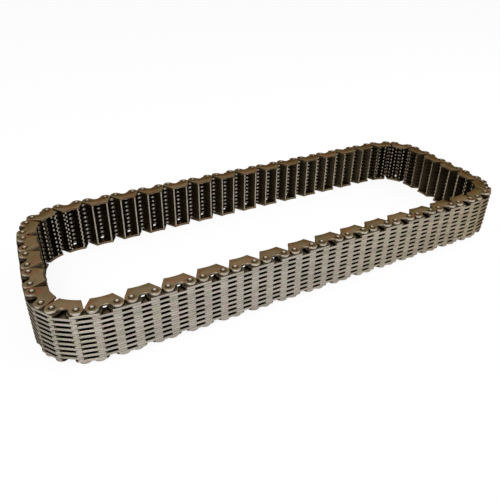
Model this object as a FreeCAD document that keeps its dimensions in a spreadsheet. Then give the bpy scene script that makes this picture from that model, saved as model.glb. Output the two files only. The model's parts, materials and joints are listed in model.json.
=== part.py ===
import FreeCAD, Part
import math
import os
import re
import Sketcher

# Endless inverted-tooth (silent) drive chain with rocker-pin joints, lying on its side.
# The frame's origin is the middle of the loop on the floor, +Z is across the chain's width and
# parallel to every pin, +X runs along the long strands, and the teeth point into the loop.
# A row is the pack of plates that spans one pitch. Odd rows carry the two guide plates and the
# riveted pins, even rows carry only link plates and the shorter rocker pins.

SIZES = (
    ("chain_pitch", 9.525, "distance from joint to joint (3/8 in)"),
    ("pin_radius", 1.13, "radius of both kinds of pin"),
    ("pin_gap", 0.12, "between the two pins of a joint, where they roll on each other"),
    ("pin_fit", 0.02, "radial clearance of a pin in its own plates"),
    ("rocker_clearance", 0.14, "radial clearance of a pin in the next row's plates"),
    ("plate_thickness", 1.45, "thickness of every plate"),
    ("plate_gap", 0.05, "oil gap between neighbouring plates"),
    ("inner_plates", 19, "link plates across the width, both rows together, an odd number"),
    ("flank_angle", 30, "angle of every tooth flank from the tooth's centre line"),
    ("tooth_height", 7.45, "from the pitch line to the tips of a link plate's teeth"),
    ("toe_width", 0.8, "flat at a tooth's tip"),
    ("crotch_radius", 1.62, "round bottom between a link plate's two teeth"),
    ("back_height", 4.0, "from the pitch line to the flat back of a link plate"),
    ("end_wall", 2.38, "from a pin's centre to the end of its link plate"),
    ("back_corner_radius", 2.3, "round outer corners of a link plate's back"),
    ("guide_height", 7.62, "from the pitch line to the inner edge of a guide plate"),
    ("guide_hollow", 0.6, "how far a guide plate's inner edge dips in its middle"),
    ("guide_gap", 0.285, "between the round ends of neighbouring guide plates"),
    ("guide_waist_level", 0.3, "how far the waist in a guide plate's back reaches past the pitch line"),
    ("guide_edge_radius", 0.25, "rolled edge around a guide plate's outer face"),
    ("head_height", 0.45, "riveted end of a pin, proud of the guide plate"),
    ("head_flare", 0.27, "how far a riveted end spreads past its pin at the guide plate"),
    ("head_flat_radius", 0.8, "flat top of a riveted end"),
    ("bend_in", 25, "largest bend of a joint towards the teeth"),
    ("bend_back", 4, "largest bend of a joint towards the backs"),
    ("strand_rows", 26, "rows in each straight strand"),
    ("end_rows", 5, "rows in each straight end of the loop"),
    ("corner_joints", 7, "joints that share each corner's turn, an odd number"),
    ("corner_skew", 4.9, "how much less than a quarter turn one corner takes, and the next takes more"),
)

XY = "XY_Plane"
XZ = "XZ_Plane"
ORIGIN = (-1, 1)
HORIZONTAL_AXIS = -1
VERTICAL_AXIS = -2
START, END, CENTRE = 1, 2, 3
ZERO = 1e-9
TOUCH = 1e-4


def make_sheet(doc):
    """The driving dimensions, one row each: what it is, its value and its alias."""
    sheet = doc.addObject("Spreadsheet::Sheet", "Sizes")
    for line, (alias, value, meaning) in enumerate(SIZES, start=1):
        sheet.set(f"A{line}", meaning)
        sheet.set(f"B{line}", str(value))
        sheet.setAlias(f"B{line}", alias)
    doc.recompute()
    return sheet


doc = FreeCAD.newDocument("drive_chain")
sheet = make_sheet(doc)
size = {alias: float(sheet.get(alias)) for alias, _, _ in SIZES}


# ---------------------------------------------------------------- sketches bound to the sheet


def bound(text):
    """An expression in which each size's name stands for its cell."""
    return re.sub("[a-z_]+", lambda word: f"Sizes.{word[0]}" if word[0] in size else word[0], text)


def value_of(text):
    answer = sheet.evalExpression(bound(text))
    return float(getattr(answer, "Value", answer))


def origin_plane(body, role):
    return next(f for f in body.Origin.OriginFeatures if f.Role == role)


def new_sketch(body, name, role=XY):
    sketch = body.newObject("Sketcher::SketchObject", name)
    sketch.AttachmentSupport = [(origin_plane(body, role), "")]
    sketch.MapMode = "FlatFace"
    return sketch


def bind(sketch, constraint, text):
    number = sketch.addConstraint(constraint)
    sketch.setExpression(f"Constraints[{number}]", bound(text))


def pin_down(sketch, geometry, place, point, ways=("DistanceX", "DistanceY")):
    """Tie one sketch point to the origin, each way by its own expression."""
    axes = {"DistanceX": (VERTICAL_AXIS, point[0]), "DistanceY": (HORIZONTAL_AXIS, point[1])}
    for kind in ways:
        axis, text = axes[kind]
        away = value_of(text)
        if abs(away) < ZERO:
            sketch.addConstraint(Sketcher.Constraint("PointOnObject", geometry, place, axis))
        elif away > 0:
            bind(sketch, Sketcher.Constraint(kind, *ORIGIN, geometry, place, away), text)
        else:
            bind(sketch, Sketcher.Constraint(kind, geometry, place, *ORIGIN, -away), f"-({text})")


def draw_outline(sketch, start, steps):
    """A closed outline of lines and arcs, every corner bound to the sheet.

    start and each step's end are (x, y) expressions. A step is (end,) for a line, or
    (end, centre, radius, turn) for an arc, where turn is 1 for anticlockwise and -1 for clockwise.
    An arc is held by its two ends and by its centre across the chord between them.
    """
    here, ends = start, []
    for step in steps:
        end = step[0]
        a, b = (FreeCAD.Vector(*(value_of(t) for t in p), 0) for p in (here, end))
        if len(step) == 1:
            number = sketch.addGeometry(Part.LineSegment(a, b))
            ends.append((number, START, END))
        else:
            centre, radius, turn = step[1:]
            middle = FreeCAD.Vector(*(value_of(t) for t in centre), 0)
            circle = Part.Circle(middle, FreeCAD.Vector(0, 0, 1), value_of(radius))
            first, last = (a, b) if turn > 0 else (b, a)
            angles = [math.atan2(p.y - middle.y, p.x - middle.x) for p in (first, last)]
            number = sketch.addGeometry(Part.ArcOfCircle(circle, *angles))
            across = "DistanceY" if abs(b.x - a.x) > abs(b.y - a.y) else "DistanceX"
            pin_down(sketch, number, CENTRE, centre, (across,))
            ends.append((number, START, END) if turn > 0 else (number, END, START))
        pin_down(sketch, number, ends[-1][2], end)
        here = end
    for (one, _, leaves), (other, enters, _) in zip(ends, ends[1:] + ends[:1]):
        sketch.addConstraint(Sketcher.Constraint("Coincident", one, leaves, other, enters))


def mirrored(point):
    return (f"-({point[0]})", point[1])


def draw_circles(sketch, centres, radius):
    for centre in centres:
        middle = FreeCAD.Vector(*(value_of(t) for t in centre), 0)
        circle = Part.Circle(middle, FreeCAD.Vector(0, 0, 1), value_of(radius))
        number = sketch.addGeometry(circle)
        bind(sketch, Sketcher.Constraint("Radius", number, value_of(radius)), radius)
        pin_down(sketch, number, CENTRE, centre)


def pad(body, sketch, length):
    feature = body.newObject("PartDesign::Pad", f"{sketch.Name}_pad")
    feature.Profile = sketch
    feature.setExpression("Length", bound(length))
    sketch.Visibility = False
    doc.recompute()
    return feature


def cut_through(body, sketch):
    """A pocket through the plate, checked to have cut something."""
    before = body.Shape.Volume
    feature = body.newObject("PartDesign::Pocket", f"{sketch.Name}_cut")
    feature.Profile = sketch
    feature.Type = "ThroughAll"
    feature.Reversed = True
    doc.recompute()
    if body.Shape.Volume >= before - ZERO:
        raise RuntimeError(f"{feature.Name} cut nothing")
    return feature


# ---------------------------------------------------------------- the four kinds of piece

# Each pin of a joint stands this far to its own side of the line where the two roll on each other.
PIN_OFFSET = "(pin_radius + pin_gap / 2)"
OWN_PIN_X = f"chain_pitch / 2 + {PIN_OFFSET}"
HOLE_RADIUS = "pin_radius + pin_fit"
HEAD_RADIUS = "(pin_radius + head_flare)"
# The round ends of two neighbouring guide plates all but meet halfway between their pins.
GUIDE_LOBE_RADIUS = f"(chain_pitch / 2 - {PIN_OFFSET} - guide_gap / 2)"


def make_link_plate():
    """Link plate: two teeth with a round crotch between them, a flat back, and at each end a hole
    for its own pin that opens into a slot where the next row's pin rocks."""
    body = doc.addObject("PartDesign::Body", "link_plate")
    end_x = f"({OWN_PIN_X} + end_wall)"
    corner_x = f"({end_x} - back_corner_radius)"
    corner_y = "(- back_height + back_corner_radius)"
    tip_outside = ("chain_pitch / 2 + toe_width / 2", "tooth_height")
    tip_inside = ("chain_pitch / 2 - toe_width / 2", "tooth_height")
    flank_foot = (end_x, f"tooth_height - ({end_x} - ({tip_outside[0]})) / tan(flank_angle)")
    crotch_y = (
        f"(tooth_height - (({tip_inside[0]}) * cos(flank_angle) - crotch_radius)"
        " / sin(flank_angle))"
    )
    crotch_edge = (
        "crotch_radius * cos(flank_angle)",
        f"{crotch_y} - crotch_radius * sin(flank_angle)",
    )
    back_right = (corner_x, "- back_height")
    end_low = (end_x, corner_y)
    outline = new_sketch(body, "link_outline")
    draw_outline(
        outline,
        mirrored(back_right),
        [
            (back_right,),
            (end_low, (corner_x, corner_y), "back_corner_radius", 1),
            (flank_foot,),
            (tip_outside,),
            (tip_inside,),
            (crotch_edge,),
            (mirrored(crotch_edge), ("0", crotch_y), "crotch_radius", -1),
            (mirrored(tip_inside),),
            (mirrored(tip_outside),),
            (mirrored(flank_foot),),
            (mirrored(end_low),),
            (mirrored(back_right), (f"-({corner_x})", corner_y), "back_corner_radius", 1),
        ],
    )
    pad(body, outline, "plate_thickness")

    holes = new_sketch(body, "link_pin_holes")
    own = (OWN_PIN_X, "0")
    draw_circles(holes, (own, mirrored(own)), HOLE_RADIUS)
    cut_through(body, holes)

    # The next row's pin swings about the joint, so its slot is as long as that swing.
    radius = "(pin_radius + rocker_clearance)"
    middle_x = f"(chain_pitch / 2 - {PIN_OFFSET} * (1 + cos(bend_in)) / 2)"
    low, high = f"-({PIN_OFFSET} * sin(bend_in))", f"{PIN_OFFSET} * sin(bend_back)"
    near, far = f"{middle_x} - {radius}", f"{middle_x} + {radius}"
    for side, flip, turn in (("right", lambda p: p, 1), ("left", mirrored, -1)):
        slot = new_sketch(body, f"link_rocker_slot_{side}")
        draw_outline(
            slot,
            flip((near, low)),
            [
                (flip((far, low)), flip((middle_x, low)), radius, turn),
                (flip((far, high)),),
                (flip((near, high)), flip((middle_x, high)), radius, turn),
                (flip((near, low)),),
            ],
        )
        cut_through(body, slot)
    return body


def make_guide_plate():
    """Guide plate: a solid tooth side, a round lobe about each riveted pin, and a waist in its back.
    The flanks are tangent to the lobes, and the waist is one arc tangent to both lobes. The inner
    edge is one shallow arc from corner to corner."""
    body = doc.addObject("PartDesign::Body", "guide_plate")
    pin_x, lobe = f"({OWN_PIN_X})", GUIDE_LOBE_RADIUS
    corner = (
        f"{pin_x} + ({lobe} - guide_height * sin(flank_angle)) / cos(flank_angle)",
        "guide_height",
    )
    flank_foot = (f"{pin_x} + {lobe} * cos(flank_angle)", f"{lobe} * sin(flank_angle)")
    waist_radius = (
        f"(({pin_x} ^2 + guide_waist_level ^2 - {lobe} ^2)"
        f" / (2 * ({lobe} + guide_waist_level)))"
    )
    waist_drop = f"({waist_radius} - guide_waist_level)"
    share = f"({lobe} / ({lobe} + {waist_radius}))"
    waist_edge = (f"{pin_x} * (1 - {share})", f"-({waist_drop} * {share})")
    inner_radius = f"(({corner[0]}) ^2 + guide_hollow ^2) / (2 * guide_hollow)"
    inner_centre = ("0", f"guide_height - guide_hollow + {inner_radius}")
    outline = new_sketch(body, "guide_outline")
    draw_outline(
        outline,
        waist_edge,
        [
            (flank_foot, (pin_x, "0"), lobe, 1),
            (corner,),
            (mirrored(corner), inner_centre, f"({inner_radius})", -1),
            (mirrored(flank_foot),),
            (mirrored(waist_edge), (f"-({pin_x})", "0"), lobe, 1),
            (waist_edge, ("0", f"-({waist_drop})"), waist_radius, -1),
        ],
    )
    pad(body, outline, "plate_thickness")
    holes = new_sketch(body, "guide_pin_holes")
    own = (OWN_PIN_X, "0")
    draw_circles(holes, (own, mirrored(own)), HOLE_RADIUS)
    cut = cut_through(body, holes)

    rolled = body.newObject("PartDesign::Fillet", "guide_rolled_edge")
    rolled.Base = (cut, outer_rim(cut.Shape))
    rolled.setExpression("Radius", bound("guide_edge_radius"))
    doc.recompute()
    return body


def outer_rim(plate):
    """Names of the edges around a plate's upper face, its pin holes left out."""
    top, hole = size["plate_thickness"], size["pin_radius"] + size["pin_fit"]
    names = []
    for number, edge in enumerate(plate.Edges, start=1):
        level = edge.BoundBox
        on_top = abs(level.ZMin - top) < TOUCH and abs(level.ZMax - top) < TOUCH
        round_hole = isinstance(edge.Curve, Part.Circle) and abs(edge.Curve.Radius - hole) < TOUCH
        if on_top and not round_hole:
            names.append(f"Edge{number}")
    return names


# Levels across the width: layer 0 and the last layer are the guide plates.
WIDTH = "((inner_plates + 2) * (plate_thickness + plate_gap) - plate_gap)"


def make_rivet_pin():
    """Long pin of a guide row, turned about +Z. Its riveted ends stand proud of the guide plates,
    each a dome that runs smoothly into its flat top."""
    body = doc.addObject("PartDesign::Body", "rivet_pin")
    top = f"({WIDTH} + 2 * head_height)"
    taper = f"({HEAD_RADIUS} - head_flat_radius)"
    dome = f"(({taper} ^2 + head_height ^2) / (2 * head_height))"
    profile = new_sketch(body, "rivet_profile", XZ)
    draw_outline(
        profile,
        ("0", "0"),
        [
            (("head_flat_radius", "0"),),
            ((HEAD_RADIUS, "head_height"), ("head_flat_radius", dome), dome, 1),
            (("pin_radius", "head_height"),),
            (("pin_radius", f"{top} - head_height"),),
            ((HEAD_RADIUS, f"{top} - head_height"),),
            (("head_flat_radius", top), ("head_flat_radius", f"{top} - {dome}"), dome, 1),
            (("0", top),),
            (("0", "0"),),
        ],
    )
    turned = body.newObject("PartDesign::Revolution", "rivet_turned")
    turned.Profile = profile
    turned.ReferenceAxis = (profile, ["V_Axis"])
    turned.Angle = 360
    doc.recompute()
    return body


def make_rocker_pin():
    """Short pin of a plain row. The guide plates beside it keep it in."""
    body = doc.addObject("PartDesign::Body", "rocker_pin")
    section = new_sketch(body, "rocker_section")
    draw_circles(section, (("0", "0"),), "pin_radius")
    pad(body, section, "inner_plates * (plate_thickness + plate_gap) - plate_gap")
    return body


# ---------------------------------------------------------------- the loop


def corner_bends(turn):
    """Bend of each joint of a corner: a raised cosine whose bends add up to the corner's turn."""
    steps = int(size["corner_joints"]) + 1
    from_middle = [joint - (steps - 2) / 2 for joint in range(steps - 1)]
    return [turn / steps * (1 + math.cos(2 * math.pi * away / steps)) for away in from_middle]


def half_loop():
    """The bend at each joint of half the loop. The other half repeats it, which closes the loop."""
    strand = [0.0] * (int(size["strand_rows"]) - 1)
    end = [0.0] * (int(size["end_rows"]) - 1)
    skew = size["corner_skew"]
    return strand + corner_bends(90 - skew) + end + corner_bends(90 + skew)


def lay_rows(bends):
    """Each row's heading in degrees and the point of the joint where it starts."""
    headings, points = [0.0], [FreeCAD.Vector(0, 0, 0)]
    for bend in bends:
        angle = math.radians(headings[-1])
        step = FreeCAD.Vector(math.cos(angle), math.sin(angle), 0) * size["chain_pitch"]
        points.append(points[-1] + step)
        headings.append(headings[-1] + bend)
    headings, points = headings[: len(bends)], points[: len(bends)]
    half = len(bends) // 2
    middle = (points[0] + points[half]) * 0.5
    return headings, [p - middle for p in points]


def section_joints():
    """The joints of half the loop that swing: three in each strand, three and two about the
    corners, and two in the end. The rows between two of them stay in line as one section."""
    strand = int(size["strand_rows"]) - 1
    corner = int(size["corner_joints"])
    end = int(size["end_rows"]) - 1
    first, second = strand + corner // 2, strand + corner + end + corner // 2
    in_end = strand + corner + end // 2
    in_strand = [strand * quarter // 4 for quarter in (1, 2, 3)]
    return in_strand + [first - 1, first, first + 1, in_end - 1, in_end, second - 1, second + 1]


def section_rows(joints, count):
    """The rows of each section. Joint j follows row j."""
    sections = []
    for start, end in zip(joints, joints[1:] + [joints[0] + count]):
        sections.append([row % count for row in range(start + 1, end + 1)])
    return sections


def is_guide_row(row):
    return row % 2 == 1


# ---------------------------------------------------------------- sections made of the pieces


def standing(shape, x, level, turned_over=False):
    """A copy of a piece in its row, whose start is at x = 0, at a level across the width."""
    axis = FreeCAD.Vector(0, 1, 0)
    spin = FreeCAD.Rotation(axis, 180 if turned_over else 0)
    copy = shape.copy()
    copy.Placement = FreeCAD.Placement(FreeCAD.Vector(x, 0, level), spin)
    return copy


def row_pieces(row, shapes):
    """One row's pieces by the node they belong to, with the row's start at the origin."""
    layer = size["plate_thickness"] + size["plate_gap"]
    floor = size["head_height"]
    top = floor + (size["inner_plates"] + 2) * layer - size["plate_gap"]
    middle = size["chain_pitch"] / 2
    pin_x = [middle - side * value_of(OWN_PIN_X) for side in (1, -1)]
    count = int(size["inner_plates"])
    if is_guide_row(row):
        guides = [
            standing(shapes["guide_plate"], middle, top - size["plate_thickness"]),
            standing(shapes["guide_plate"], middle, floor + size["plate_thickness"], True),
        ]
        layers = range(2, count + 1, 2)
        pins = [standing(shapes["rivet_pin"], x, 0) for x in pin_x]
    else:
        guides = []
        layers = range(1, count + 1, 2)
        pins = [standing(shapes["rocker_pin"], x, floor + layer) for x in pin_x]
    links = [standing(shapes["link_plate"], middle, floor + n * layer) for n in layers]
    return {"guide_plates": guides, "link_plates": links, "joint_pins": pins}


def make_section(number, rows, headings, points, shapes):
    """One section's nodes, each a group of separate solids, placed at the section's first joint."""
    first = rows[0]
    home = FreeCAD.Placement(points[first], FreeCAD.Rotation(FreeCAD.Vector(0, 0, 1), headings[first]))
    groups = {"guide_plates": [], "link_plates": [], "joint_pins": []}
    for row in rows:
        turn = FreeCAD.Rotation(FreeCAD.Vector(0, 0, 1), headings[row])
        place = home.inverse() * FreeCAD.Placement(points[row], turn)
        for kind, pieces in row_pieces(row, shapes).items():
            for piece in pieces:
                piece.Placement = place * piece.Placement
                groups[kind].append(piece)
    nodes = []
    for kind, pieces in groups.items():
        if pieces:
            node = doc.addObject("Part::Feature", f"{kind}_{number:02d}")
            node.Label = node.Name
            node.Shape = Part.makeCompound(pieces)
            node.Placement = home
            nodes.append(node)
    return nodes


def check_and_export(nodes):
    for item in doc.Objects:
        if "Invalid" in item.State or "Error" in item.State:
            raise RuntimeError(f"{item.Name} failed: {item.State}")
    for node in nodes:
        if node.Shape.isNull() or not node.Shape.isValid():
            raise RuntimeError(f"{node.Label} has no valid shape")
    os.makedirs("parts", exist_ok=True)
    for node in nodes:
        node.Shape.exportStep(f"parts/{node.Label}.step")


pieces = [make_link_plate(), make_guide_plate(), make_rivet_pin(), make_rocker_pin()]
doc.recompute()
shapes = {body.Name: body.Shape for body in pieces}
bends = half_loop() * 2
headings, points = lay_rows(bends)
half_joints = section_joints()
joints = half_joints + [j + len(bends) // 2 for j in half_joints]
nodes = []
for number, rows in enumerate(section_rows(joints, len(bends)), start=1):
    nodes += make_section(number, rows, headings, points, shapes)
doc.recompute()
check_and_export(nodes)
solids = sum(len(node.Shape.Solids) for node in nodes)
print(f"{len(bends)} rows, {len(nodes)} nodes, {solids} solids")
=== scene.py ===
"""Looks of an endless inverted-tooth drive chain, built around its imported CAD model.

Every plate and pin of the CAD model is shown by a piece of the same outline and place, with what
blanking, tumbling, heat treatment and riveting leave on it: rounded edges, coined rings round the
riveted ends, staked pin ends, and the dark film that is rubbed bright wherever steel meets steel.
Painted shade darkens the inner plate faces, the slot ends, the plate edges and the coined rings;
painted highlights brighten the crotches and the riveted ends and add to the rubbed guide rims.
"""

import json
import math

import bpy
import numpy as np
from bpy.props import FloatProperty, FloatVectorProperty, IntProperty, PointerProperty, StringProperty
from mathutils import Matrix, Vector
from mathutils.geometry import tessellate_polygon

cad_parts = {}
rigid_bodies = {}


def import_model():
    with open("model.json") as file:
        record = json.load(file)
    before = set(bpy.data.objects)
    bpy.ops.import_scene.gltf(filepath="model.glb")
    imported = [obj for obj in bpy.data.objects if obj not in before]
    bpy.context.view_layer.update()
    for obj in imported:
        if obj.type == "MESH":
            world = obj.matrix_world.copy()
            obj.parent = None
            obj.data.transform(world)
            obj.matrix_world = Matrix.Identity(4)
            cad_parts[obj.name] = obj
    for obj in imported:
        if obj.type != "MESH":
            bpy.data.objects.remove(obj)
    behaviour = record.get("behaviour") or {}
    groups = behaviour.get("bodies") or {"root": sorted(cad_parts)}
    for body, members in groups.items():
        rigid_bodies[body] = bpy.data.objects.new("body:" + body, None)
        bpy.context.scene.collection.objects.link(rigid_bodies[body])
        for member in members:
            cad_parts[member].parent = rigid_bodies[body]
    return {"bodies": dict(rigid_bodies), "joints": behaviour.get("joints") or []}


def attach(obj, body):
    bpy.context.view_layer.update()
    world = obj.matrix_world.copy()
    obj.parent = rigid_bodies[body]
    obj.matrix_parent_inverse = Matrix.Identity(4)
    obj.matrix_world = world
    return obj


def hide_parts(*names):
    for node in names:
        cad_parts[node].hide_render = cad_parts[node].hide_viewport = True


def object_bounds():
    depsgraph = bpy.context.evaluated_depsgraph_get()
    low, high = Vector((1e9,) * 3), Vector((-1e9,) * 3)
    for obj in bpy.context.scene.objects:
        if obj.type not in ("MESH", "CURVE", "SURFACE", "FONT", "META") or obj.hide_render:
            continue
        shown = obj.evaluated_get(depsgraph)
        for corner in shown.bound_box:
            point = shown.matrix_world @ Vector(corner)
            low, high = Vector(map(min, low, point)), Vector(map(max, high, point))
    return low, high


bl_info = {
    "name": "Inverted-tooth drive chain",
    "version": (1, 0, 0),
    "blender": (4, 5, 0),
    "location": "3D View > Sidebar > Drive chain",
    "description": "Plates, pins, finishes and studio of an endless inverted-tooth drive chain",
    "category": "Object",
}

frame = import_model()
CAD_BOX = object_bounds()

MM = 0.001
GUIDE, LINK, PIN = "guide_plates", "link_plates", "joint_pins"
GLOW, PAINT, SKY = "#ffffff", "#f4f4f4", "#ffffff"
# Oil on steel keeps it from going white where it is seen at a glance.
OILED_GLANCE = "#8a8478"

# Depths of the fine scuffs, in mm.
PLATE_BUMP_MM, PIN_BUMP_MM = 0.006, 0.004
# Sides of the round holes and pins, and the turn from which an edge is drawn sharp.
OPENING_SIDES, RIVET_SIDES, ROCKER_SIDES = 24, 20, 14
SHARP_TURN = math.radians(28)
# The worn edge of a link plate gets this share of the level beside it, which draws it darker:
# painted shade between neighbouring plates.
EDGE_SHADE_SHARE = 0.56
SENSOR_MM = 36.0

# How far use has rubbed the dark film off the steel, from 0 as quenched to 1 bright. The same
# levels also carry painted light: painted shade on the inner link faces, the slot ends, the plate
# edges and the coined rings, and painted highlights on the crotches, the guide rims and the riveted
# ends.
QUENCHED_AND_SHADED, FILM_IN_SHADE, FLANK, LIT_FACE, SHOULDER, TIP, BRIGHT = 0.0, 0.12, 0.25, 0.4, 0.5, 0.75, 1.0


# ---------------------------------------------------------------- sizes and colours


def length(name, value, description):
    """A length property whose value is given in millimetres."""
    return FloatProperty(
        name=name, description=description, default=value * MM, unit="LENGTH", precision=5
    )


class ChainSizes(bpy.types.PropertyGroup):
    """Sizes of the plates, pins and rows."""

    pitch: length("Pitch", 9.525, "Distance from joint to joint")
    pin_radius: length("Pin radius", 1.13, "Radius of both kinds of pin")
    pin_gap: length("Pin gap", 0.12, "Between the two pins of a joint")
    pin_fit: length("Pin fit", 0.02, "Radial clearance of a pin in its own plates")
    rocker_fit: length("Rocker fit", 0.14, "Radial clearance of a pin in the next row's plates")
    plate: length("Plate", 1.45, "Thickness of every plate")
    oil_gap: length("Oil gap", 0.05, "Between neighbouring plates")
    tooth_height: length("Tooth height", 7.45, "From the pitch line to the tips of the teeth")
    toe_width: length("Toe width", 0.8, "Flat at a tooth's tip")
    crotch_radius: length("Crotch radius", 1.62, "Round bottom between two teeth")
    back_height: length("Back height", 4.0, "From the pitch line to a link plate's back")
    end_wall: length("End wall", 2.38, "From a pin's centre to the end of its link plate")
    back_corner: length("Back corner", 2.3, "Radius of a link plate's back corners")
    guide_height: length("Guide height", 7.62, "From the pitch line to a guide plate's inner edge")
    guide_hollow: length("Guide hollow", 0.6, "How far a guide plate's inner edge dips")
    guide_gap: length("Guide gap", 0.285, "Between the round ends of neighbouring guide plates")
    waist_level: length("Waist level", 0.3, "How far the waist reaches past the pitch line")
    head_height: length("Head height", 0.45, "Riveted end, proud of the guide plate")
    head_flare: length("Head flare", 0.27, "How far a riveted end spreads past its pin")
    head_flat: length("Head flat", 0.8, "Radius of a riveted end's flat top")
    rolled_edge: length("Rolled edge", 0.25, "Rounded edge of a guide plate's outer face")
    tumbled_edge: length("Tumbled edge", 0.13, "Worn edges of every other plate face")
    coin_depth: length("Coin depth", 0.1, "Ring that riveting presses into a guide plate")
    coin_width: length("Coin width", 0.5, "Width of that ring outside the riveted end")
    stake_radius: length("Stake radius", 0.34, "Small pit in the middle of a riveted end")
    stake_depth: length("Stake depth", 0.16, "Depth of that pit")
    flank_angle: FloatProperty(
        name="Flank angle", description="From a tooth's centre line", default=math.radians(30),
        subtype="ANGLE",
    )
    bend_in: FloatProperty(
        name="Bend in", description="Largest bend towards the teeth", default=math.radians(25),
        subtype="ANGLE",
    )
    bend_back: FloatProperty(
        name="Bend back", description="Largest bend towards the backs", default=math.radians(4),
        subtype="ANGLE",
    )
    corner_skew: FloatProperty(
        name="Corner skew", description="What one corner takes less than a quarter turn",
        default=math.radians(4.9), subtype="ANGLE",
    )
    strand_rows: IntProperty(name="Strand rows", description="Rows in each strand", default=26)
    end_rows: IntProperty(name="End rows", description="Rows in each straight end", default=5)
    corner_joints: IntProperty(name="Corner joints", description="Joints in a corner", default=7)
    inner_plates: IntProperty(name="Inner plates", description="Link plates, both rows", default=19)
    seed: IntProperty(name="Seed", description="Seed of the plates' own tints", default=7)


def colour(name, value, description):
    return StringProperty(name=name, description=description, default=value)


class ChainColours(bpy.types.PropertyGroup):
    """Colours of the finishes, as sRGB hex."""

    # Near-black: the dark film with painted shade of the deep slots between the plates.
    face: colour("Plate face", "#16130e", "Link plate face, oiled and as quenched")
    flank: colour("Tooth flank", "#4c4231", "Tooth flank under its oil film")
    shoulder: colour("Plate end", "#6a6153", "Half-rubbed end of a link plate")
    tip: colour("Tooth tip", "#a89d88", "Tooth tip, rubbed by the tumbling")
    back: colour("Plate back", "#b0aaa2", "Back of a link plate, tumbled to a satin grey")
    # Laid on along +X: the backs turn from the back colour to this warmer, darker one.
    back_warm: colour("Warm plate back", "#9a8867", "Back of a link plate where the oil is thicker")
    pink_stain: colour("Pink stain", "#b09a94", "Faint temper stain on the backs")
    green_stain: colour("Green stain", "#9fa08b", "Faint oil stain on the backs")
    bronze: colour("Bronze film", "#7d6a52", "Guide plate, tempered to a bronze film")
    olive: colour("Olive film", "#6f654b", "Cooler stretches of the same film")
    rust_brown: colour("Red-brown film", "#7f5c46", "Hotter patches of the same film")
    # Rim: rubbed steel with a painted highlight on the edges that catch the light.
    rim: colour("Guide rim", "#b0a99d", "Rolled edge of a guide plate, rubbed light")
    # Seat: oil with painted shade of the recess round the riveted end.
    seat: colour("Rivet seat", "#45362a", "Oil held in the coined ring")
    # The bright riveted end is a painted highlight over ground steel.
    pin: colour("Pin", "#d9d2c4", "Ground pin steel with a bright riveted end")


# ---------------------------------------------------------------- outlines


def arc(centre, radius, start, end, steps):
    """Points at equal turns about a centre: centre plus radius times cosine and sine."""
    turn = np.linspace(start, end, steps + 1)
    return np.array(centre) + radius * np.column_stack([np.cos(turn), np.sin(turn)])


def both_sides(half):
    """A closed outline from its right half, which starts and ends on or right of the middle."""
    left = half[::-1] * (-1, 1)
    doubles = np.abs(left[:, 0]) < 1e-9
    return np.vstack([half, left[~doubles]])


def pin_offset(s):
    return s.pin_radius + s.pin_gap / 2


def own_pin_x(s):
    return s.pitch / 2 + pin_offset(s)


def link_outline(s):
    """Right half from the back's middle, anticlockwise: flat back, round corner, end wall, outer
    flank, toe, inner flank and half the crotch. The level at each point is that of the side after it.
    The dark round corners and end walls are the unrubbed film with painted shade of the slots, and
    the bright crotch is a painted highlight."""
    end = own_pin_x(s) + s.end_wall
    toe_out, toe_in = s.pitch / 2 + s.toe_width / 2, s.pitch / 2 - s.toe_width / 2
    foot = s.tooth_height - (end - toe_out) / math.tan(s.flank_angle)
    slope = toe_in * math.cos(s.flank_angle) - s.crotch_radius
    crotch_y = s.tooth_height - slope / math.sin(s.flank_angle)
    corner = arc(
        (end - s.back_corner, s.back_corner - s.back_height), s.back_corner, -math.pi / 2, 0, 4
    )
    crotch = arc((0, crotch_y), s.crotch_radius, -s.flank_angle, -math.pi / 2, 3)
    toes = [(end, foot), (toe_out, s.tooth_height), (toe_in, s.tooth_height)]
    half = np.vstack([corner, toes, crotch])
    # Painted shade: the round corner falls to the dark film and the end wall stays dark, so the slots
    # between plates read black.
    corner_wear_and_shade = [0.92, FLANK, FILM_IN_SHADE, FILM_IN_SHADE]
    # The crotch's three sides are a painted highlight, as bright as the back.
    wear_and_painted_light = corner_wear_and_shade + [FILM_IN_SHADE, FLANK, TIP, FLANK] + [BRIGHT] * 3
    return both_sides(half), np.array(wear_and_painted_light + wear_and_painted_light[::-1] + [BRIGHT])


def guide_outline(s):
    """Right half from the waist's middle: waist arc tangent to the lobe, lobe about the riveted pin,
    flank tangent to the lobe, and half of the inner edge, which is one shallow hollow arc."""
    x = own_pin_x(s)
    lobe = s.pitch / 2 - pin_offset(s) - s.guide_gap / 2
    waist = (x * x + s.waist_level**2 - lobe * lobe) / (2 * (lobe + s.waist_level))
    drop = waist - s.waist_level
    leave = math.atan2(drop, x)
    corner = x + (lobe - s.guide_height * math.sin(s.flank_angle)) / math.cos(s.flank_angle)
    back = arc((0, -drop), waist, math.pi / 2, leave, 6)
    round_end = arc((x, 0), lobe, leave - math.pi, s.flank_angle, 14)
    hollow = (corner**2 + s.guide_hollow**2) / (2 * s.guide_hollow)
    reach = math.asin(corner / hollow)
    centre = (0, s.guide_height - s.guide_hollow + hollow)
    inner = arc(centre, hollow, reach - math.pi / 2, -math.pi / 2, 4)
    half = np.vstack([back, round_end[1:], inner])
    # Waist and lobes take the light rim: rubbed steel with a painted highlight.
    wear_and_painted_light = [TIP] * 6 + [BRIGHT] * 9 + [SHOULDER] * 10
    return both_sides(half), np.array(wear_and_painted_light + wear_and_painted_light[::-1])


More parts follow.
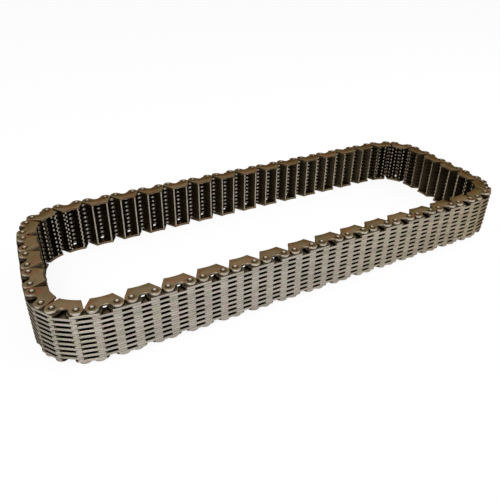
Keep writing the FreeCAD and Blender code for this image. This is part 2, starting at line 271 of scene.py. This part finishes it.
def opening(s, count):
    """Where a link plate's own pin hole runs into the slot of the next row's pin. From a point in
    both of them, each direction reaches the farthest edge of the circles that make them up, and a
    little more, so that the sides between the points stay outside the circles."""
    own = own_pin_x(s)
    offset = pin_offset(s)
    slot_x = s.pitch / 2 - offset * (1 + math.cos(s.bend_in)) / 2
    low, high = -offset * math.sin(s.bend_in), offset * math.sin(s.bend_back)
    rocker = s.pin_radius + s.rocker_fit
    circles = [(own, 0.0, s.pin_radius + s.pin_fit)]
    circles += [(slot_x, y, rocker) for y in (low, (low + high) / 2, high)]
    middle = np.array([(own + slot_x) / 2 + s.pin_gap / 2, low / 4])
    turn = 2 * math.pi * np.arange(count) / count
    ray = np.column_stack([np.cos(turn), np.sin(turn)])
    reach = np.zeros(count)
    for x, y, radius in circles:
        away = np.array([x, y]) - middle
        along = ray @ away
        under_root = radius**2 - away @ away + along**2
        far = along + np.sqrt(np.maximum(under_root, 0))
        reach = np.maximum(reach, np.where(under_root > 0, far, 0))
    return middle + ray * reach[:, None] / math.cos(math.pi / count)


def inset(outline, distance):
    """An outline moved inwards: each point goes along the sum of its two sides' inward normals,
    far enough that both sides move by the distance."""
    ahead = np.roll(outline, -1, axis=0) - outline
    ahead /= np.linalg.norm(ahead, axis=1)[:, None]
    inward = np.column_stack([-ahead[:, 1], ahead[:, 0]])
    before = np.roll(inward, 1, axis=0)
    both = inward + before
    return outline + distance * both / (1 + np.sum(inward * before, axis=1))[:, None]


# ---------------------------------------------------------------- meshes as whole arrays


class Shape:
    """Points, faces and each face's level of rubbing and painted light, kept as arrays so that copies
    are array sums.
    """

    def __init__(self):
        self.points = np.zeros((0, 3))
        self.corners = np.zeros(0, int)
        self.sides = np.zeros(0, int)
        self.wear_and_painted_light = np.zeros(0)

    def add_points(self, plan, level):
        first = len(self.points)
        levels = np.broadcast_to(level, len(plan))
        self.points = np.vstack([self.points, np.column_stack([plan, levels])])
        return first + np.arange(len(plan))

    def add_faces(self, faces, wear_and_painted_light):
        faces = np.atleast_2d(np.asarray(faces, int))
        self.corners = np.concatenate([self.corners, faces.ravel()])
        self.sides = np.concatenate([self.sides, np.full(len(faces), faces.shape[1])])
        self.wear_and_painted_light = np.concatenate([self.wear_and_painted_light, np.broadcast_to(wear_and_painted_light, len(faces))])

    def join_rings(self, lower, upper, wear_and_painted_light):
        """Quads from each ring point to the next, facing right of the way the rings run."""
        after = np.roll(np.arange(len(lower)), -1)
        quads = np.column_stack([lower, lower[after], upper[after], upper])
        self.add_faces(quads, wear_and_painted_light)

    def cap(self, rings, wear_and_painted_light, upwards):
        """Flat face inside the first ring and outside the others, as triangles."""
        order = np.concatenate(rings)
        loops = [[Vector(self.points[i]) for i in ring] for ring in rings]
        triangles = order[np.array(tessellate_polygon(loops))]
        a, b, c = (self.points[triangles[:, k], :2] for k in range(3))
        (ux, uy), (vx, vy) = (b - a).T, (c - a).T
        wrong = ((ux * vy - uy * vx) > 0) != upwards
        triangles[wrong] = triangles[wrong][:, ::-1]
        self.add_faces(triangles, wear_and_painted_light)


def link_plate(s, face_wear_and_light):
    """The outline carried through the thickness with a worn edge at each face, drawn darker as painted
    shade between plates, and its openings. The faces take the level they are given: near-black
    painted shade on the inner plates, a lighter lit face on the outer ones.
    """
    shape = Shape()
    outline, wear_and_painted_light = link_outline(s)
    edge, top = s.tumbled_edge, s.plate
    levels = [(edge, 0), (0, edge), (0, top - edge), (edge, top)]
    rings = [shape.add_points(inset(outline, d) if d else outline, z) for d, z in levels]
    # Painted shade: the edges take a share of the level beside them, the tooth tips apart.
    shaded_edge_wear = np.where(wear_and_painted_light == TIP, TIP, EDGE_SHADE_SHARE * wear_and_painted_light)
    for lower, upper, side in zip(rings, rings[1:], (shaded_edge_wear, wear_and_painted_light, shaded_edge_wear)):
        shape.join_rings(lower, upper, side)
    right = opening(s, OPENING_SIDES)
    holes = []
    for plan in (right, right * (-1, 1)):
        walls = [shape.add_points(plan, z) for z in (0, top)]
        if plan is right:
            shape.join_rings(walls[1], walls[0], QUENCHED_AND_SHADED)
        else:
            shape.join_rings(walls[0], walls[1], QUENCHED_AND_SHADED)
        holes.append(walls)
    shape.cap([rings[0], holes[0][0], holes[1][0]], face_wear_and_light, False)
    shape.cap([rings[-1], holes[0][1], holes[1][1]], face_wear_and_light, True)
    return shape


def guide_plate(s):
    """Outline with a rolled edge on its outer face, which is up, and round each pin hole a ring
    pressed a little below that face. The sides run from the dark ring, oil with painted shade round
    the riveted end, to the light rim, rubbed steel with a painted highlight."""
    shape = Shape()
    outline, wear_and_painted_light = guide_outline(s)
    top, roll, edge = s.plate, s.rolled_edge, s.tumbled_edge
    rolled = [
        (roll * (1 - math.cos(turn)), top - roll * (1 - math.sin(turn)))
        for turn in np.linspace(0, math.pi / 2, 4)
    ]
    levels = [(edge, 0), (0, edge)] + rolled
    rings = [shape.add_points(inset(outline, d) if d else outline, z) for d, z in levels]
    # The wall and the rolled edge take the light rim, a painted highlight over rubbed steel.
    for share, lower, upper in zip((0.6, 1, 0.9, 0.7, 0), rings, rings[1:]):
        shape.join_rings(lower, upper, SHOULDER + share * (wear_and_painted_light - SHOULDER))
    hole = s.pin_radius + s.pin_fit
    head = s.pin_radius + s.head_flare
    ring_levels = [
        (hole, 0), (hole, top - s.coin_depth), (head + s.coin_width * 0.45, top - s.coin_depth),
        (head + s.coin_width, top),
    ]
    lower_holes, upper_holes = [], []
    for way in (1, -1):
        centre = (way * own_pin_x(s), 0)
        circles = [
            shape.add_points(
                arc(centre, r, 2 * math.pi, 2 * math.pi / RIVET_SIDES, RIVET_SIDES - 1), z
            )
            for r, z in ring_levels
        ]
        # The coined ring is drawn dark: oil with painted shade round the riveted end.
        for inner, outer, side in zip(circles, circles[1:], (QUENCHED_AND_SHADED, QUENCHED_AND_SHADED, FLANK)):
            shape.join_rings(inner, outer, side)
        lower_holes.append(circles[0])
        upper_holes.append(circles[-1])
    shape.cap([rings[0]] + lower_holes, SHOULDER, False)
    shape.cap([rings[-1]] + upper_holes, SHOULDER, True)
    return shape


def lathe(profile, wear_and_painted_light, around):
    """A profile of (radius, height) from the axis and back to it, turned about +Z."""
    shape = Shape()
    turn = 2 * math.pi * np.arange(around) / around
    circle = np.column_stack([np.cos(turn), np.sin(turn)])
    rings = [shape.add_points(circle * r, z) for r, z in profile[1:-1]]
    for number, (lower, upper) in enumerate(zip(rings, rings[1:])):
        shape.join_rings(lower, upper, wear_and_painted_light[number + 1])
    for (_, level), ring, upwards in ((profile[0], rings[0], False), (profile[-1], rings[-1], True)):
        pole = shape.add_points(np.zeros((1, 2)), level)
        after = np.roll(ring, -1)
        fan = np.column_stack([ring, after, np.full(around, pole[0])])
        shape.add_faces(fan if upwards else fan[:, ::-1], wear_and_painted_light[-1] if upwards else wear_and_painted_light[0])
    return shape


def rivet_pin(s):
    """Shaft between two staked ends. An end rises from the coined ring as a dome that meets its
    flat top smoothly, round a small conical pit with a rounded lip."""
    width = (s.inner_plates + 2) * (s.plate + s.oil_gap) - s.oil_gap
    head, flat, height = s.pin_radius + s.head_flare, s.head_flat, s.head_height
    taper = head - flat
    dome = (taper**2 + height**2) / (2 * height)
    sweep = math.asin(taper / dome)
    turns = np.linspace(0, sweep, 5)
    side = [(flat + dome * math.sin(t), dome * (1 - math.cos(t))) for t in turns]
    pit = [
        (0, s.stake_depth),
        (s.stake_radius * 0.45, s.stake_depth * 0.8),
        (s.stake_radius, 0.03 * MM),
    ]
    lip = [((s.stake_radius + flat) / 2, 0)]
    under = height + s.coin_depth
    end = pit + lip + side + [(head * 0.97, under), (s.pin_radius, under)]
    # The pit and lip are bright as a painted highlight; the dome round them stays darker.
    wear_and_painted_light = [TIP, BRIGHT, BRIGHT, TIP] + [SHOULDER, SHOULDER, FLANK, FLANK] + [FLANK, FLANK]
    whole = width + 2 * height
    profile = end + [(r, whole - z) for r, z in end[::-1]]
    return lathe(profile, wear_and_painted_light + [QUENCHED_AND_SHADED] + wear_and_painted_light[::-1], RIVET_SIDES)


def rocker_pin(s):
    """Short plain pin with bevelled ends."""
    long = s.inner_plates * (s.plate + s.oil_gap) - s.oil_gap
    bevel = s.tumbled_edge
    end = [(0, 0), (s.pin_radius - bevel, 0), (s.pin_radius, bevel)]
    profile = end + [(r, long - z) for r, z in end[::-1]]
    return lathe(profile, [SHOULDER, SHOULDER, QUENCHED_AND_SHADED, SHOULDER, SHOULDER], ROCKER_SIDES)


# ---------------------------------------------------------------- the loop


def corner_bends(turn, joints):
    """Raised cosine over a corner's joints: the share of joint k is one plus the cosine of its
    distance from the corner's middle, as a part of the whole turn."""
    away = np.arange(joints) - (joints - 1) / 2
    return turn / (joints + 1) * (1 + np.cos(2 * math.pi * away / (joints + 1)))


def lay_rows(s):
    """Heading and first joint of each row: steps of one pitch, turned by each joint's bend. The
    second half of the loop repeats the first, so the loop closes and its middle is the origin."""
    quarter = math.pi / 2
    half = np.concatenate([
        np.zeros(s.strand_rows - 1), corner_bends(quarter - s.corner_skew, s.corner_joints),
        np.zeros(s.end_rows - 1), corner_bends(quarter + s.corner_skew, s.corner_joints),
    ])
    bends = np.tile(half, 2)
    heading = np.concatenate([[0], np.cumsum(bends)[:-1]])
    step = s.pitch * np.column_stack([np.cos(heading), np.sin(heading)])
    start = np.vstack([[0, 0], np.cumsum(step, axis=0)[:-1]])
    return heading, start - (start[0] + start[len(half)]) / 2


def section_rows(start):
    """The rows of each section. A section starts with the row whose first joint is the one that
    swings it. The section after the open joint is a half turn from the one across the loop."""
    count, sections = len(start), len(frame["bodies"])
    first = {}
    for joint in frame["joints"]:
        pair = sorted(int(joint[end].rsplit("_", 1)[1]) for end in ("parent", "child"))
        after = pair[1] if pair[1] - pair[0] == 1 else pair[0]
        away = np.linalg.norm(start - np.array(joint["pos_m"][:2]), axis=1)
        first[after] = int(np.argmin(away))
    for number in range(1, sections + 1):
        if number not in first:
            twin = (number + sections // 2 - 1) % sections + 1
            first[number] = (first[twin] + count // 2) % count
    rows = {}
    for number in range(1, sections + 1):
        stop = first[number % sections + 1]
        rows[number] = [(first[number] + k) % count for k in range((stop - first[number]) % count)]
    return rows


def row_places(s, row):
    """Where a row's pieces of each kind stand, from the row's first joint: the shape's name, its
    place along the row, its level, and whether it is turned over."""
    layer = s.plate + s.oil_gap
    middle, own = s.pitch / 2, own_pin_x(s)
    last = s.inner_plates + 1
    has_guides = row % 2 == 1
    floor = s.head_height
    places = {GUIDE: [], LINK: [], PIN: []}
    if has_guides:
        places[GUIDE] = [
            ("guide", middle, floor + last * layer, False),
            ("guide", middle, floor + s.plate, True),
        ]
    levels = range(2 if has_guides else 1, last, 2)
    # The layers next to the guide plates get a lighter face, a lit copy; the inner layers keep the
    # near-black face as painted shade.
    lit_layers = (1, 2, last - 2, last - 1)
    places[LINK] = [
        ("outer_link" if n in lit_layers else "link", middle, floor + n * layer, False) for n in levels
    ]
    kind, level = ("rivet", 0.0) if has_guides else ("rocker", floor + layer)
    places[PIN] = [(kind, middle + side * own, level, False) for side in (-1, 1)]
    return places


def group_mesh(name, copies, tints):
    """One mesh of many copies. Copy k's points are the shape's, turned over if it is, then turned
    by its row's heading and moved; its faces are the shape's with their numbers shifted."""
    points, corners, sides, wear_and_painted_light, tint = [], [], [], [], []
    first = 0
    for (shape, heading, place, over), own_tint in zip(copies, tints):
        flip = np.array([-1, 1, -1]) if over else np.ones(3)
        c, n = math.cos(heading), math.sin(heading)
        turn = np.array([[c, n, 0], [-n, c, 0], [0, 0, 1]])
        points.append((shape.points * flip) @ turn + place)
        corners.append(shape.corners + first)
        sides.append(shape.sides)
        wear_and_painted_light.append(shape.wear_and_painted_light)
        tint.append(np.full(len(shape.sides), own_tint))
        first += len(shape.points)
    points, corners, sides, wear_and_painted_light, tint = map(np.concatenate, (points, corners, sides, wear_and_painted_light, tint))
    mesh = bpy.data.meshes.new(name)
    mesh.vertices.add(len(points))
    mesh.vertices.foreach_set("co", points.ravel())
    mesh.loops.add(len(corners))
    mesh.loops.foreach_set("vertex_index", corners)
    mesh.polygons.add(len(sides))
    mesh.polygons.foreach_set("loop_start", np.cumsum(sides) - sides)
    mesh.polygons.foreach_set("loop_total", sides)
    mesh.update(calc_edges=True)
    mesh.validate()
    for label, values in (("wear_and_painted_light", wear_and_painted_light), ("tint", tint)):
        layer = mesh.attributes.new(label, "FLOAT", "CORNER")
        layer.data.foreach_set("value", np.repeat(values, sides).astype(np.float32))
    mesh.polygons.foreach_set("use_smooth", np.ones(len(sides), bool))
    mesh.set_sharp_from_angle(angle=SHARP_TURN)
    return mesh


def show_group(name, kind, number, shapes, rows, loop, sizes, finish):
    """One piece for a section's CAD node of one kind, riding on that section."""
    heading, start = loop
    node = f"{kind}_{number:02d}"
    copies = []
    for row in rows:
        c, n = math.cos(heading[row]), math.sin(heading[row])
        for shape, along, level, over in row_places(sizes, row)[kind]:
            place = np.array([start[row][0] + along * c, start[row][1] + along * n, level])
            copies.append((shapes[shape], heading[row], place, over))
    if not copies:
        return None
    draw = np.random.default_rng([sizes.seed, number, (GUIDE, LINK, PIN).index(kind)])
    mesh = group_mesh(name, copies, draw.random(len(copies)))
    piece = bpy.data.objects.new(name, mesh)
    bpy.context.scene.collection.objects.link(piece)
    mesh.materials.append(finish)
    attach(piece, f"section_{number:02d}")
    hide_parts(node)
    return piece


# ---------------------------------------------------------------- materials


def linear(text):
    """sRGB hex to linear light, with alpha: a share s below 0.04045 becomes s / 12.92, and any
    other becomes ((s + 0.055) / 1.055) to the power 2.4."""
    shares = [int(text[k : k + 2], 16) / 255 for k in (1, 3, 5)]
    return [s / 12.92 if s <= 0.04045 else ((s + 0.055) / 1.055) ** 2.4 for s in shares] + [1.0]


def node(tree, kind, links=(), **settings):
    """Adds a node. A setting names a property, or a socket by its name or number after "at_"."""
    made = tree.nodes.new(kind)
    for name, value in settings.items():
        if name.startswith("at_"):
            key = name[3:]
            socket = made.inputs[int(key)] if key.isdigit() else made.inputs[key.replace("_", " ")]
            socket.default_value = value
        else:
            setattr(made, name, value)
    for socket, source in links:
        tree.links.new(source, made.inputs[socket])
    return made


def ramp(tree, source, stops, interpolation="LINEAR"):
    """A colour ramp with a stop for each (position, hex)."""
    made = node(tree, "ShaderNodeValToRGB", [(0, source)])
    band = made.color_ramp
    band.interpolation = interpolation
    while len(band.elements) < len(stops):
        band.elements.new(0.5)
    for element, (position, text) in zip(band.elements, stops):
        element.position = position
        element.color = linear(text)
    return made.outputs["Color"]


def mix(tree, share, one, other, kind="MIX"):
    made = node(tree, "ShaderNodeMix", data_type="RGBA", blend_type=kind)
    for socket, value in ((0, share), (6, one), (7, other)):
        if hasattr(value, "links"):
            tree.links.new(value, made.inputs[socket])
        else:
            made.inputs[socket].default_value = value
    return made.outputs[2]


def spread(tree, source, low, high, to_low=0.0, to_high=1.0):
    """A value's range stretched to another, and held at its ends."""
    made = node(
        tree, "ShaderNodeMapRange", [(0, source)], at_1=low, at_2=high, at_3=to_low, at_4=to_high
    )
    return made.outputs[0]


def new_material(name):
    material = bpy.data.materials.new(name)
    material.use_nodes = True
    material.node_tree.nodes.clear()
    return material, material.node_tree


def grain(tree, place, size_mm, detail=2.0, roughness=0.5, distortion=0.0):
    """Noise whose patches are about size_mm across."""
    made = node(
        tree, "ShaderNodeTexNoise", [("Vector", place)], at_Scale=1 / (size_mm * MM),
        at_Detail=detail, at_Roughness=roughness, at_Distortion=distortion,
    )
    return made.outputs["Fac"]


def finish_surface(tree, base, roughness, height, depth_mm):
    """Metal with a linked colour and roughness and a fine bump."""
    bump = node(
        tree, "ShaderNodeBump", [("Height", height)], at_Strength=1.0, at_Distance=depth_mm * MM
    )
    shader = node(
        tree, "ShaderNodeBsdfPrincipled",
        [("Base Color", base), ("Roughness", roughness), ("Normal", bump.outputs[0])],
        at_Metallic=1.0, at_Specular_Tint=linear(OILED_GLANCE),
    )
    node(tree, "ShaderNodeOutputMaterial", [("Surface", shader.outputs[0])])


def attribute(tree, name):
    return node(tree, "ShaderNodeAttribute", attribute_name=name).outputs["Fac"]


def tumbled_link_steel(c):
    """Blanked carbon steel, hardened in oil and tumbled. The faces and flanks keep the dark film,
    the backs and the toes are rubbed to a satin grey with faint temper and oil stains. The inner
    faces and slot ends are near-black as painted shade of the slots, the crotches carry a painted
    highlight in the back colour, and the backs turn warmer and darker along +X."""
    material, tree = new_material("tumbled_link_steel")
    place = node(tree, "ShaderNodeTexCoord").outputs["Object"]
    wear_and_painted_light, tint = attribute(tree, "wear_and_painted_light"), attribute(tree, "tint")
    film = ramp(
        tree, wear_and_painted_light,
        [(FILM_IN_SHADE, c.face), (FLANK, c.flank), (SHOULDER, c.shoulder), (TIP, c.tip), (0.9, c.back)],
    )
    along = node(tree, "ShaderNodeSeparateXYZ", [(0, place)]).outputs[0]
    # Share of the back colour: the rubbed backs, and the crotches as a painted highlight.
    rubbed = spread(tree, wear_and_painted_light, 0.6, 0.9)
    # The backs turn warmer and darker along +X.
    warmer_along_x = mix(tree, spread(tree, along, -0.04, 0.17, 0.0, 0.85), linear(c.back), linear(c.back_warm))
    base = mix(tree, rubbed, film, warmer_along_x)
    pink = spread(tree, grain(tree, place, 4.0, 3.0, 0.6), 0.5, 0.68, 0.0, 0.75)
    green = spread(tree, grain(tree, place, 7.0, 3.0, 0.6, 0.4), 0.48, 0.66, 0.0, 0.75)
    base = mix(tree, mix_share(tree, pink, rubbed), base, linear(c.pink_stain))
    base = mix(tree, mix_share(tree, green, rubbed), base, linear(c.green_stain))
    own = spread(tree, tint, 0.0, 1.0, 0.86, 1.1)
    base = mix(tree, 1.0, base, own, "MULTIPLY")
    scuffs = grain(tree, place, 0.5, 4.0, 0.65)
    base = mix(tree, 0.8, base, spread(tree, scuffs, 0.25, 0.75, 0.84, 1.12), "MULTIPLY")
    roughness = spread(tree, scuffs, 0.3, 0.7, 0.3, 0.46)
    finish_surface(tree, base, roughness, scuffs, PLATE_BUMP_MM)
    return material


def mix_share(tree, one, other):
    made = node(tree, "ShaderNodeMath", [(0, one), (1, other)], operation="MULTIPLY")
    return made.outputs[0]


def tempered_guide_steel(c):
    """Stamped spring steel, tempered to a bronze film that runs to olive and to red-brown, with
    oil held in the coined rings and a rim rubbed light. The dark rings also carry painted shade round
    the riveted ends, and the light rim a painted highlight."""
    material, tree = new_material("tempered_guide_steel")
    place = node(tree, "ShaderNodeTexCoord").outputs["Object"]
    wear_and_painted_light, tint = attribute(tree, "wear_and_painted_light"), attribute(tree, "tint")
    olive = spread(tree, grain(tree, place, 9.0, 3.0, 0.55, 0.3), 0.42, 0.64)
    red = spread(tree, grain(tree, place, 6.0, 2.0, 0.5, 0.6), 0.5, 0.66, 0.0, 0.8)
    film = mix(tree, olive, linear(c.bronze), linear(c.olive))
    film = mix(tree, red, film, linear(c.rust_brown))
    # Coined ring: oil with painted shade round the riveted end.
    film = mix(tree, spread(tree, wear_and_painted_light, 0.05, 0.45), linear(c.seat), film)
    # Rim: rubbed steel with a painted highlight.
    base = mix(tree, spread(tree, wear_and_painted_light, 0.6, 1.0, 0.0, 0.9), film, linear(c.rim))
    base = mix(tree, 1.0, base, spread(tree, tint, 0.0, 1.0, 0.88, 1.1), "MULTIPLY")
    scuffs = grain(tree, place, 0.6, 4.0, 0.6)
    base = mix(tree, 0.7, base, spread(tree, scuffs, 0.3, 0.7, 0.86, 1.1), "MULTIPLY")
    roughness = spread(tree, scuffs, 0.3, 0.7, 0.3, 0.44)
    finish_surface(tree, base, roughness, scuffs, PLATE_BUMP_MM)
    return material


def staked_pin_steel(c):
    """Ground bearing steel. The staked ends are bright, the shafts hold oil. The bright middle of each
    staked end is a painted highlight.
    """
    material, tree = new_material("staked_pin_steel")
    place = node(tree, "ShaderNodeTexCoord").outputs["Object"]
    wear_and_painted_light = attribute(tree, "wear_and_painted_light")
    base = ramp(
        tree, wear_and_painted_light,
        [(QUENCHED_AND_SHADED, c.face), (FLANK, c.seat), (SHOULDER, c.shoulder), (TIP, c.tip), (0.95, c.pin)],
    )
    scuffs = grain(tree, place, 0.35, 3.0, 0.6)
    roughness = spread(tree, scuffs, 0.3, 0.7, 0.16, 0.28)
    finish_surface(tree, base, roughness, scuffs, PIN_BUMP_MM)
    return material


# ---------------------------------------------------------------- operators


def show_kind(context, kind, title, shapes, finish):
    """Shows one kind of piece in every section that has any, and fails if none has."""
    sizes = context.scene.chain_sizes
    loop = lay_rows(sizes)
    shown = 0
    for number, rows in section_rows(loop[1]).items():
        name = f"{title}_{number:02d}"
        piece = show_group(name, kind, number, shapes, rows, loop, sizes, finish)
        if piece:
            shown += 1
    if not shown:
        raise RuntimeError(f"no section has {kind}")
    return {"FINISHED"}


class CHAIN_OT_link_plates(bpy.types.Operator):
    """Laced link plates of every section"""

    bl_idname = "chain.link_plates"
    bl_label = "Link plates"

    def execute(self, context):
        finish = tumbled_link_steel(context.scene.chain_colours)
        sizes = context.scene.chain_sizes
        # Inner plates get near-black faces as painted shade, outer plates a lighter lit face.
        shapes = {"link": link_plate(sizes, QUENCHED_AND_SHADED), "outer_link": link_plate(sizes, LIT_FACE)}
        return show_kind(context, LINK, "tumbled_links", shapes, finish)


class CHAIN_OT_guide_plates(bpy.types.Operator):
    """Guide plates on both sides of every section"""

    bl_idname = "chain.guide_plates"
    bl_label = "Guide plates"

    def execute(self, context):
        finish = tempered_guide_steel(context.scene.chain_colours)
        shapes = {"guide": guide_plate(context.scene.chain_sizes)}
        return show_kind(context, GUIDE, "tempered_guides", shapes, finish)


class CHAIN_OT_joint_pins(bpy.types.Operator):
    """Riveted and rocker pins of every section"""

    bl_idname = "chain.joint_pins"
    bl_label = "Joint pins"

    def execute(self, context):
        sizes = context.scene.chain_sizes
        finish = staked_pin_steel(context.scene.chain_colours)
        shapes = {"rivet": rivet_pin(sizes), "rocker": rocker_pin(sizes)}
        return show_kind(context, PIN, "staked_pins", shapes, finish)


class StudioSettings(bpy.types.PropertyGroup):
    """Camera, floor and lamps."""

    camera_place: FloatVectorProperty(
        name="Camera place", description="Where the camera stands",
        default=(-0.16981, -0.26037, 0.18096), unit="LENGTH",
    )
    azimuth: FloatProperty(
        name="Azimuth", description="Way the camera looks, from +X towards +Y",
        default=math.radians(60.03), subtype="ANGLE",
    )
    down: FloatProperty(
        name="Down", description="How far below the horizon it looks",
        default=math.radians(31.23), subtype="ANGLE",
    )
    roll: FloatProperty(
        name="Roll", description="Turn about its own line of sight", default=math.radians(1.11),
        subtype="ANGLE",
    )
    lens: FloatProperty(
        name="Lens", description="Focal length in mm on a 36 mm sensor", default=36.69
    )
    floor_size: FloatProperty(
        name="Floor", description="Side of the floor", default=8.0, unit="LENGTH"
    )
    sky: FloatProperty(name="Sky", description="Strength of the even light", default=0.75)
    key: FloatProperty(name="Key", description="Power of the key lamp in watts", default=6.0)
    fill: FloatProperty(name="Fill", description="Power of the fill lamp in watts", default=3.0)


def add_lamp(name, place, target, size, power):
    lamp = bpy.data.lights.new(name, "AREA")
    lamp.shape = "SQUARE"
    lamp.size = size
    lamp.energy = power
    made = bpy.data.objects.new(name, lamp)
    bpy.context.scene.collection.objects.link(made)
    made.location = place
    made.rotation_euler = (Vector(target) - Vector(place)).to_track_quat("-Z", "Y").to_euler()


def seen_white(tree):
    """1 for a ray from the camera, or one reflected or let through by a piece, else 0."""
    path = node(tree, "ShaderNodeLightPath")
    names = ("Is Camera Ray", "Is Glossy Ray", "Is Transmission Ray")
    total = None
    for name in names:
        ray = path.outputs[name]
        if total is None:
            total = ray
        else:
            both = node(tree, "ShaderNodeMath", [(0, total), (1, ray)], operation="MAXIMUM")
            total = both.outputs[0]
    return total


class CHAIN_OT_studio(bpy.types.Operator):
    """Camera, pale floor, even sky and two soft lamps"""

    bl_idname = "chain.studio"
    bl_label = "Studio"

    def execute(self, context):
        studio = context.scene.chain_studio
        self.add_camera(context.scene, studio)
        self.add_floor(context.scene, studio)
        self.add_sky(context.scene, studio)
        add_lamp("key_lamp", (-0.5, -0.6, 0.9), (0, 0, 0), 0.5, studio.key)
        add_lamp("fill_lamp", (0.7, -0.3, 0.6), (0, 0, 0), 0.8, studio.fill)
        context.scene.view_settings.view_transform = "Standard"
        return {"FINISHED"}

    def add_camera(self, scene, studio):
        ahead = Vector((
            math.cos(studio.down) * math.cos(studio.azimuth),
            math.cos(studio.down) * math.sin(studio.azimuth),
            -math.sin(studio.down),
        ))
        lens = bpy.data.cameras.new("camera")
        lens.lens = studio.lens
        lens.sensor_width = SENSOR_MM
        lens.clip_start = 0.01
        camera = bpy.data.objects.new("camera", lens)
        scene.collection.objects.link(camera)
        turn = ahead.to_track_quat("-Z", "Y").to_matrix().to_4x4()
        spin = Matrix.Rotation(studio.roll, 4, "Z")
        camera.matrix_world = Matrix.Translation(studio.camera_place) @ turn @ spin
        scene.camera = camera

    def add_floor(self, scene, studio):
        half = studio.floor_size / 2
        level = CAD_BOX[0][2]
        corners = [(-half, -half, level), (half, -half, level), (half, half, level), (-half, half, level)]
        mesh = bpy.data.meshes.new("floor")
        mesh.from_pydata(corners, [], [(0, 1, 2, 3)])
        floor = bpy.data.objects.new("floor", mesh)
        scene.collection.objects.link(floor)
        material, tree = new_material("pale_floor")
        paint = node(tree, "ShaderNodeBsdfDiffuse", at_Color=linear(PAINT))
        glow = node(tree, "ShaderNodeEmission", at_Color=linear(GLOW), at_Strength=1.0)
        straight = node(tree, "ShaderNodeLightPath").outputs["Is Camera Ray"]
        share = spread(tree, straight, 0.0, 1.0, 0.0, 0.9)
        both = node(
            tree, "ShaderNodeMixShader", [(0, share), (1, paint.outputs[0]), (2, glow.outputs[0])]
        )
        node(tree, "ShaderNodeOutputMaterial", [("Surface", both.outputs[0])])
        mesh.materials.append(material)

    def add_sky(self, scene, studio):
        world = scene.world or bpy.data.worlds.new("sky")
        scene.world = world
        world.use_nodes = True
        tree = world.node_tree
        tree.nodes.clear()
        strength = spread(tree, seen_white(tree), 0.0, 1.0, studio.sky, 1.0)
        sky = node(tree, "ShaderNodeBackground", [("Strength", strength)], at_Color=linear(SKY))
        node(tree, "ShaderNodeOutputWorld", [("Surface", sky.outputs[0])])


class CHAIN_PT_panel(bpy.types.Panel):
    """Steps that build the chain"""

    bl_label = "Drive chain"
    bl_idname = "CHAIN_PT_panel"
    bl_space_type = "VIEW_3D"
    bl_region_type = "UI"
    bl_category = "Drive chain"

    def draw(self, context):
        for operator in STEPS:
            self.layout.operator(operator.bl_idname)


STEPS = (CHAIN_OT_studio, CHAIN_OT_link_plates, CHAIN_OT_guide_plates, CHAIN_OT_joint_pins)
GROUPS = (ChainSizes, ChainColours, StudioSettings)


def register():
    for item in GROUPS + STEPS + (CHAIN_PT_panel,):
        bpy.utils.register_class(item)
    bpy.types.Scene.chain_sizes = PointerProperty(type=ChainSizes)
    bpy.types.Scene.chain_colours = PointerProperty(type=ChainColours)
    bpy.types.Scene.chain_studio = PointerProperty(type=StudioSettings)


def unregister():
    del bpy.types.Scene.chain_studio
    del bpy.types.Scene.chain_colours
    del bpy.types.Scene.chain_sizes
    for item in reversed(GROUPS + STEPS + (CHAIN_PT_panel,)):
        bpy.utils.unregister_class(item)


def main():
    register()
    bpy.ops.chain.studio()
    bpy.ops.chain.link_plates()
    bpy.ops.chain.guide_plates()
    bpy.ops.chain.joint_pins()


if __name__ == "__main__":
    main()
